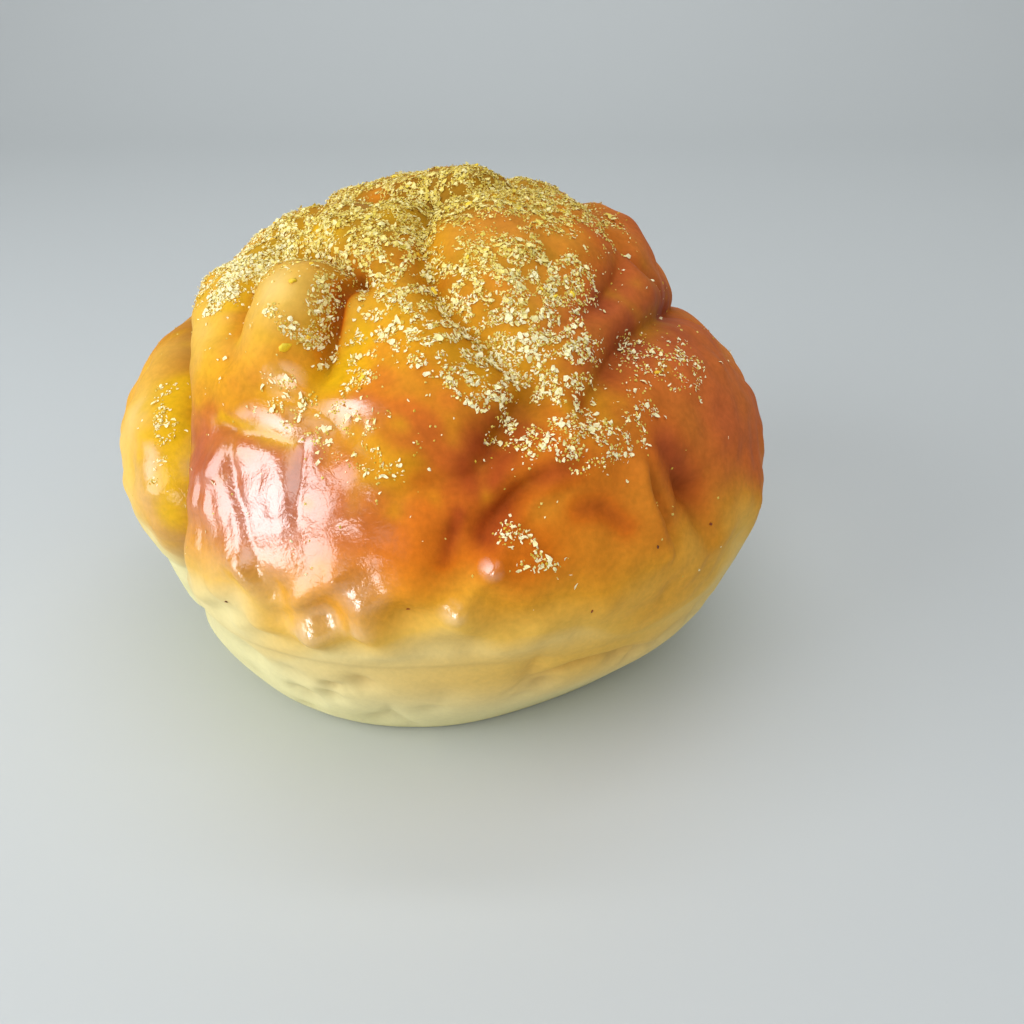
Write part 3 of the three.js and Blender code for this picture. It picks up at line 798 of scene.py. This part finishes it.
def sowing_field(d, quads, points):
    """For each cell of the skin: its corners, its direction, and the chance that a flake lands there, which
    is its area times the cover."""
    corners = points[quads]
    middles = unit(d[quads].sum(1))
    area = np.linalg.norm(np.cross(corners[:, 2] - corners[:, 0], corners[:, 3] - corners[:, 1]), axis=1)
    chance = area * flake_cover(middles)
    return corners, middles, chance / chance.sum()


def strewn_cells(field, count, rng):
    """Corners of cells drawn by their chance."""
    corners, _, chance = field
    return corners[rng.choice(len(chance), count, p=chance)]


def cells_at(field, places):
    """Corners of the cells nearest to given places."""
    corners, middles, _ = field
    return corners[(direction(places) @ middles.T).argmax(1)]


def stand_in_cells(corners, rng, tilt):
    """In each cell an even place, blended from its four corners, and three axes that stand on it, turned
    and tilted at random."""
    n = len(corners)
    a, b, c, e = (corners[:, i] for i in range(4))
    u, v = rng.random((2, n, 1))
    origin = (a * (1 - u) + b * u) * (1 - v) + (e * (1 - u) + c * u) * v
    normal = unit(unit(np.cross(c - a, e - b)) + tilt * rng.normal(size=(n, 3)))
    along = rng.normal(size=(n, 3))
    along = unit(along - (along * normal).sum(1)[:, None] * normal)
    return origin, np.stack([along, np.cross(normal, along), normal], 1)


def make_strewn(name, origin, axes, local, faces, tint, material, smooth=False):
    """Many small things as one mesh: each has the same faces and its own points in its own axes."""
    n, corners = local.shape[:2]
    points = origin[:, None] + local @ axes
    faces = faces[None] + (np.arange(n) * corners)[:, None, None]
    faces = faces.reshape(-1, faces.shape[-1])
    values = {"tint": np.repeat(tint, corners)}
    return make_piece(name, points.reshape(-1, 3), faces, material, values, smooth)


def two_caps(corners):
    """Triangles from a ring of corners to the two points that follow it, above and below its middle."""
    corner = np.arange(corners)
    after = np.roll(corner, -1)
    upper = np.stack([corner, after, np.full_like(corner, corners)], -1)
    lower = np.stack([after, corner, np.full_like(corner, corners + 1)], -1)
    return np.concatenate([upper, lower])


def make_flakes(name, field, n, lengths, slenderness, corners, seed, material):
    """Flakes: plates with a ragged outline, bent along an arc and twisted, standing on the skin. Around the
    outline x = a cos(angle) and y = b sin(angle), unevenly; the middle has an upper and a lower point."""
    rng = np.random.default_rng(seed)
    origin, axes = stand_in_cells(strewn_cells(field, n, rng), rng, FLAKE_TILT)
    length = lengths[0] + (lengths[1] - lengths[0]) * rng.beta(*FLAKE_SPREAD, n)
    width = length * rng.uniform(*slenderness, n)
    bend = rng.uniform(*FLAKE_CURL, n) * rng.choice(CURL_WAYS, n)
    twist = rng.normal(0, FLAKE_TWIST, n)
    half_length, half_width, bend, twist = (x[:, None] for x in (length / 2, width / 2, bend, twist))
    angle = 2 * math.pi * np.arange(corners) / corners
    ragged = rng.uniform(*FLAKE_RAGGED, (n, corners))
    u = np.concatenate([np.cos(angle) * ragged, np.zeros((n, 2))], 1)
    v = np.concatenate([np.sin(angle) * ragged, np.zeros((n, 2))], 1)
    thick = np.zeros((1, corners + 2))
    thick[0, -2:] = FLAKE_THICKNESS / 2, -FLAKE_THICKNESS / 2
    x = half_length * np.sin(bend * u) / bend
    y = half_width * v
    z = half_length * (1 - np.cos(bend * u)) / bend + thick
    turn = twist * u
    y, z = y * np.cos(turn) - z * np.sin(turn), y * np.sin(turn) + z * np.cos(turn)
    lift = rng.random(n) ** 2 * FLAKE_PILE - FLAKE_SINK
    z = z - z.min(1)[:, None] + lift[:, None]
    tint = (1 - CROWN_TINT) * rng.random(n) + CROWN_TINT * rise(origin[:, 2], *CROWN_HEIGHTS)
    return make_strewn(name, origin, axes, np.stack([x, y, z], -1), two_caps(corners), tint, material)


def make_dust(field, material):
    """Dust of the flakes: specks with six uneven corners on three crossed axes."""
    rng = np.random.default_rng(DUST_SEED)
    n = DUST_COUNT
    origin, axes = stand_in_cells(strewn_cells(field, n, rng), rng, FLAKE_TILT)
    shape = np.array([(1, 0, 0), (0, 1, 0), (-1, 0, 0), (0, -1, 0), (0, 0, 1), (0, 0, -1)], float)
    size = rng.uniform(*DUST_SIZE, (n, 1, 1))
    local = shape[None] * size * rng.uniform(*DUST_UNEVEN, (n, len(shape), 1))
    local[:, :, 2] = DUST_FLATNESS * local[:, :, 2] + DUST_LIFT * size[:, :, 0]
    return make_strewn("dust", origin, axes, local, two_caps(len(shape) - 2), rng.random(n), material)


def make_grains(name, cells, sizes, seed, material):
    """Grains: small flattened balls with uneven corners, half sunk among the flakes."""
    rng = np.random.default_rng(seed)
    n = len(cells)
    origin, axes = stand_in_cells(cells, rng, FLAKE_TILT)
    shape, faces = cube_directions(GRAIN_GRID)
    size = rng.uniform(*sizes, n)[:, None, None]
    uneven = rng.uniform(*GRAIN_UNEVEN, (n, len(shape), 1))
    local = shape[None] * size * uneven * rng.uniform(*GRAIN_STRETCH, (n, 1, 3))
    local[:, :, 2] += GRAIN_LIFT * size[:, :, 0]
    return make_strewn(name, origin, axes, local, faces, rng.random(n), material, smooth=True)


def linear(colour):
    """Linear colour with alpha from 8-bit sRGB."""
    c = np.asarray(colour) / 255
    value = np.where(c <= 0.04045, c / 12.92, ((c + 0.055) / 1.055) ** 2.4)
    return (*(float(x) for x in value), 1.0)


def add(tree, kind, values=(), **settings):
    """A shader node with its settings, and with values set on its inputs or linked to them."""
    node = tree.nodes.new(kind)
    for key, value in settings.items():
        setattr(node, key, value)
    for key, value in dict(values).items():
        if isinstance(value, bpy.types.NodeSocket):
            tree.links.new(value, node.inputs[key])
        else:
            node.inputs[key].default_value = value
    return node


def mix_colours(tree, factor, a, b, blend="MIX"):
    """Colour a with colour b over it."""
    node = add(tree, "ShaderNodeMix", {0: factor, 6: a, 7: b}, data_type="RGBA", blend_type=blend)
    return node.outputs[2]


def named_value(tree, name):
    """A value that the piece holds for each point."""
    return add(tree, "ShaderNodeAttribute", attribute_name=name).outputs["Fac"]


def ranged(tree, value, low, high, to_low, to_high):
    """A value mapped from one range to another."""
    inputs = {"Value": value, "From Min": low, "From Max": high, "To Min": to_low, "To Max": to_high}
    return add(tree, "ShaderNodeMapRange", inputs).outputs["Result"]


def maths(tree, operation, *values):
    """Result of an operation on values."""
    return add(tree, "ShaderNodeMath", dict(enumerate(values)), operation=operation).outputs[0]


def times(tree, a, b):
    """Product of two values."""
    return maths(tree, "MULTIPLY", a, b)


def noise(tree, scale, detail, distortion=0.0):
    """Cloudy noise through the piece, from 0 to 1."""
    place = add(tree, "ShaderNodeTexCoord").outputs["Object"]
    values = {"Vector": place, "Scale": scale, "Detail": detail, "Distortion": distortion}
    return add(tree, "ShaderNodeTexNoise", values).outputs["Fac"]


def bumped(tree, height, strength, distance):
    """Normal of a surface with a height."""
    values = {"Height": height, "Strength": strength, "Distance": distance}
    return add(tree, "ShaderNodeBump", values).outputs["Normal"]


def make_group(name, inputs, outputs):
    """An empty shader node group with named inputs and outputs."""
    group = bpy.data.node_groups.new(name, "ShaderNodeTree")
    for key, kind, value in inputs:
        socket = group.interface.new_socket(name=key, in_out="INPUT", socket_type=kind)
        socket.default_value = value
    for key, kind in outputs:
        group.interface.new_socket(name=key, in_out="OUTPUT", socket_type=kind)
    return group, group.nodes.new("NodeGroupInput"), group.nodes.new("NodeGroupOutput")


def mottle_group():
    """Uneven paint: a colour made lighter and darker by two sizes of cloudy noise."""
    group, given, made = make_group(
        "mottle",
        [("Color", "NodeSocketColor", (0.5, 0.5, 0.5, 1)), ("Scale", "NodeSocketFloat", 200.0),
         ("Amount", "NodeSocketFloat", 0.1)],
        [("Color", "NodeSocketColor")],
    )
    scale = given.outputs["Scale"]
    cloud = noise(group, scale, MOTTLE_DETAIL[0])
    speck = noise(group, times(group, scale, MOTTLE_FINENESS), MOTTLE_DETAIL[1])
    swing = ranged(group, maths(group, "ADD", cloud, speck), *MOTTLE_SWING)
    gain = maths(group, "MULTIPLY_ADD", swing, given.outputs["Amount"], 1.0)
    values = {0: given.outputs["Color"], "Scale": gain}
    tinted = add(group, "ShaderNodeVectorMath", values, operation="SCALE")
    group.links.new(tinted.outputs[0], made.inputs["Color"])
    return group


def grain_height(tree, scale, grain, crinkle_scale, crinkle):
    """Height of fine skin: cloudy noise, less crinkles, which are narrow lines where a second noise
    crosses its middle value."""
    rough = times(tree, noise(tree, scale, GRAIN_DETAIL), grain)
    folded = noise(tree, crinkle_scale, CRINKLE_DETAIL, CRINKLE_DISTORTION)
    away = maths(tree, "ABSOLUTE", maths(tree, "SUBTRACT", folded, CRINKLE_MIDDLE))
    deep = times(tree, ranged(tree, away, *CRINKLE_LINE), crinkle)
    return maths(tree, "SUBTRACT", rough, deep)


def grain_group():
    """Fine skin, as a height."""
    group, given, made = make_group(
        "grain",
        [("Scale", "NodeSocketFloat", 900.0), ("Grain", "NodeSocketFloat", 1.0),
         ("Crinkle Scale", "NodeSocketFloat", 250.0), ("Crinkle", "NodeSocketFloat", 0.0)],
        [("Height", "NodeSocketFloat")],
    )
    sockets = ("Scale", "Grain", "Crinkle Scale", "Crinkle")
    height = grain_height(group, *(given.outputs[key] for key in sockets))
    group.links.new(height, made.inputs["Height"])
    return group


def new_material(name):
    """A material with its Principled shader."""
    material = bpy.data.materials.new(name)
    material.use_nodes = True
    return material.node_tree, material.node_tree.nodes["Principled BSDF"], material


def placed(tree, group, values):
    """A node group placed in a material with its own values."""
    return add(tree, "ShaderNodeGroup", values, node_tree=group).outputs[0]


def ramp(tree, value, stops):
    """Colours at given values, blended between them."""
    node = add(tree, "ShaderNodeValToRGB", {"Fac": value})
    elements = node.color_ramp.elements
    while len(elements) < len(stops):
        elements.new(0.5)
    for element, (position, colour) in zip(elements, stops):
        element.position = position
        element.color = linear(colour)
    return node.outputs["Color"]


def crust_material(mottle, grain):
    """Foam with airbrushed browning, painted shade in its creases, glue over them, painted shade in its
    hollows and lacquer over all.
    """
    tree, shader, material = new_material("crust")
    browning = named_value(tree, "browning")
    paint = ramp(tree, browning, BROWNING_STOPS)
    redden = times(tree, named_value(tree, "reddening"), browning)
    paint = mix_colours(tree, redden, paint, linear(RED_BROWN))
    # Painted shade in creases and folds
    shade = times(tree, named_value(tree, "crease"), ranged(tree, browning, *CREASE_BY_BROWNING))
    paint = mix_colours(tree, shade, paint, linear(CREASE_SHADE))
    glue = named_value(tree, "glue")
    # Olive glue on the crown: partly its tone, partly painted shade between the flakes
    yellow = mix_colours(tree, named_value(tree, "crown"), linear(GLUE_YELLOW), linear(GLUE_OLIVE_AND_SHADE))
    paint = mix_colours(tree, times(tree, glue, GLUE_STRENGTH), paint, yellow)
    # Painted shade in hollows, multiplied in
    hollow = times(tree, named_value(tree, "hollow"), ranged(tree, glue, *HOLLOW_BY_GLUE))
    paint = mix_colours(tree, hollow, paint, linear(HOLLOW_SHADE), "MULTIPLY")
    uneven = ranged(tree, browning, *MOTTLE_BY_BROWNING)
    colour = placed(tree, mottle, {"Color": paint, "Scale": PAINT_MOTTLE, "Amount": uneven})
    tree.links.new(colour, shader.inputs["Base Color"])
    lacquer = named_value(tree, "lacquer")
    tree.links.new(ranged(tree, lacquer, *ROUGHNESS_BY_LACQUER), shader.inputs["Roughness"])
    tree.links.new(ranged(tree, lacquer, *COAT_BY_LACQUER), shader.inputs["Coat Weight"])
    shader.inputs["Specular IOR Level"].default_value = PAINT_SPECULAR
    shader.inputs["Coat Roughness"].default_value = COAT_ROUGHNESS
    shader.inputs["Coat IOR"].default_value = COAT_IOR
    wrinkled = named_value(tree, "wrinkled")
    fold = {
        "Scale": SKIN_GRAIN,
        "Grain": ranged(tree, wrinkled, *GRAIN_BY_WRINKLES),
        "Crinkle Scale": SKIN_CRINKLE,
        "Crinkle": ranged(tree, wrinkled, *CRINKLE_BY_WRINKLES),
    }
    tree.links.new(bumped(tree, placed(tree, grain, fold), *SKIN_BUMP), shader.inputs["Normal"])
    # The lacquer follows the same relief, through the material's own nodes
    coat_height = grain_height(tree, *fold.values())
    tree.links.new(bumped(tree, coat_height, *SKIN_BUMP), shader.inputs["Coat Normal"])
    return material


def strewn_material(name, stops, roughness, mottle, grain):
    """Dry flakes or crumbs: each has its own tint, mottled and grainy."""
    tree, shader, material = new_material(name)
    colour = ramp(tree, named_value(tree, "tint"), stops)
    colour = placed(tree, mottle, {"Color": colour, "Scale": STREWN_MOTTLE, "Amount": STREWN_UNEVEN})
    tree.links.new(colour, shader.inputs["Base Color"])
    shader.inputs["Roughness"].default_value = roughness
    height = placed(tree, grain, {"Scale": STREWN_GRAIN})
    tree.links.new(bumped(tree, height, *STREWN_BUMP), shader.inputs["Normal"])
    return material


def make_stage():
    """A pale floor that curves up into a backdrop: a profile of floor, quarter circle and wall, carried
    across."""
    turn = np.linspace(0, math.pi / 2, FLOOR_STEPS)
    y = np.concatenate([[FLOOR_FRONT], FLOOR_BACK + FLOOR_CURVE * np.sin(turn), [FLOOR_BACK + FLOOR_CURVE]])
    z = np.concatenate([[0.0], FLOOR_CURVE * (1 - np.cos(turn)), [BACKDROP_TOP]])
    x = np.array([-FLOOR_HALF_WIDTH, FLOOR_HALF_WIDTH])
    points = np.stack([np.tile(x, len(y)), np.repeat(y, 2), np.repeat(z, 2)], -1)
    k = np.arange(len(y) - 1) * 2
    quads = np.stack([k, k + 1, k + 3, k + 2], -1)
    _, shader, material = new_material("floor")
    shader.inputs["Base Color"].default_value = linear(FLOOR_PALE)
    shader.inputs["Roughness"].default_value = FLOOR_ROUGHNESS
    floor = make_piece("floor", points / MM, quads, material)


def add_softbox(name, place, target, size, power, colour):
    """A flat lamp that faces a target."""
    lamp = bpy.data.lights.new(name, "AREA")
    lamp.shape = "RECTANGLE"
    lamp.size, lamp.size_y = size
    lamp.energy = power
    lamp.color = colour
    box = bpy.data.objects.new(name, lamp)
    box.location = place
    way = np.subtract(target, place)
    lean = math.atan2(math.hypot(way[0], way[1]), -way[2])
    box.rotation_euler = (lean, 0, math.atan2(way[1], way[0]) - math.pi / 2)
    box.visible_camera = False
    bpy.context.scene.collection.objects.link(box)


def make_lights():
    """The lamps, with daylight from the left, and a pale sky all round."""
    for name, lamp in LAMPS.items():
        add_softbox(name, *lamp)
    world = bpy.data.worlds.new("studio")
    world.use_nodes = True
    sky = world.node_tree.nodes["Background"]
    sky.inputs["Color"].default_value = (*DAYLIGHT, 1)
    sky.inputs["Strength"].default_value = SKY_STRENGTH
    bpy.context.scene.world = world


def make_camera():
    """The camera looks along +Y and down, as the photograph does."""
    lens = bpy.data.cameras.new("camera")
    lens.sensor_width = SENSOR
    lens.lens = SENSOR / 2 / math.tan(math.radians(CAMERA_VIEW / 2))
    lens.clip_start = CAMERA_NEAR
    camera = bpy.data.objects.new("camera", lens)
    camera.location = np.array(CAMERA_PLACE) * MM
    camera.rotation_euler = (math.radians(90 - CAMERA_PITCH), 0, 0)
    bpy.context.scene.collection.objects.link(camera)
    bpy.context.scene.camera = camera


make_camera()
make_lights()
make_stage()
bpy.context.scene.view_settings.view_transform = "Standard"

mottle = mottle_group()
grain = grain_group()
directions, quads, points = skin_grid()
field = sowing_field(directions, quads, points)
loaf = make_loaf(directions, quads, points, crust_material(mottle, grain))
finish = {name: strewn_material(name, *look, mottle, grain) for name, look in STREWN_FINISH.items()}
flakes = make_flakes("flakes", field, FLAKE_COUNT, FLAKE_LENGTH, FLAKE_SLENDERNESS, FLAKE_CORNERS,
                     FLAKE_SEED, finish["flakes"])
shreds = make_flakes("shreds", field, SHRED_COUNT, SHRED_LENGTH, SHRED_SLENDERNESS, SHRED_CORNERS,
                     SHRED_SEED, finish["flakes"])
dust = make_dust(field, finish["dust"])
crumb_rng = np.random.default_rng(CRUMB_PLACE_SEED)
crumb_cells = np.concatenate([cells_at(field, CRUMB_PLACES), strewn_cells(field, CRUMB_COUNT, crumb_rng)])
crumbs = make_grains("crumbs", crumb_cells, CRUMB_SIZE, CRUMB_SEED, finish["crumbs"])
specks = make_grains("specks", cells_at(field, SPECK_PLACES), SPECK_SIZE, SPECK_SEED, finish["specks"])

slots = {"crust": [loaf], "flakes": [flakes, shreds, dust], "crumbs": [crumbs, specks]}
for slot, pieces in slots.items():
    for piece in pieces:
        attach(piece, "root")
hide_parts("loaf")
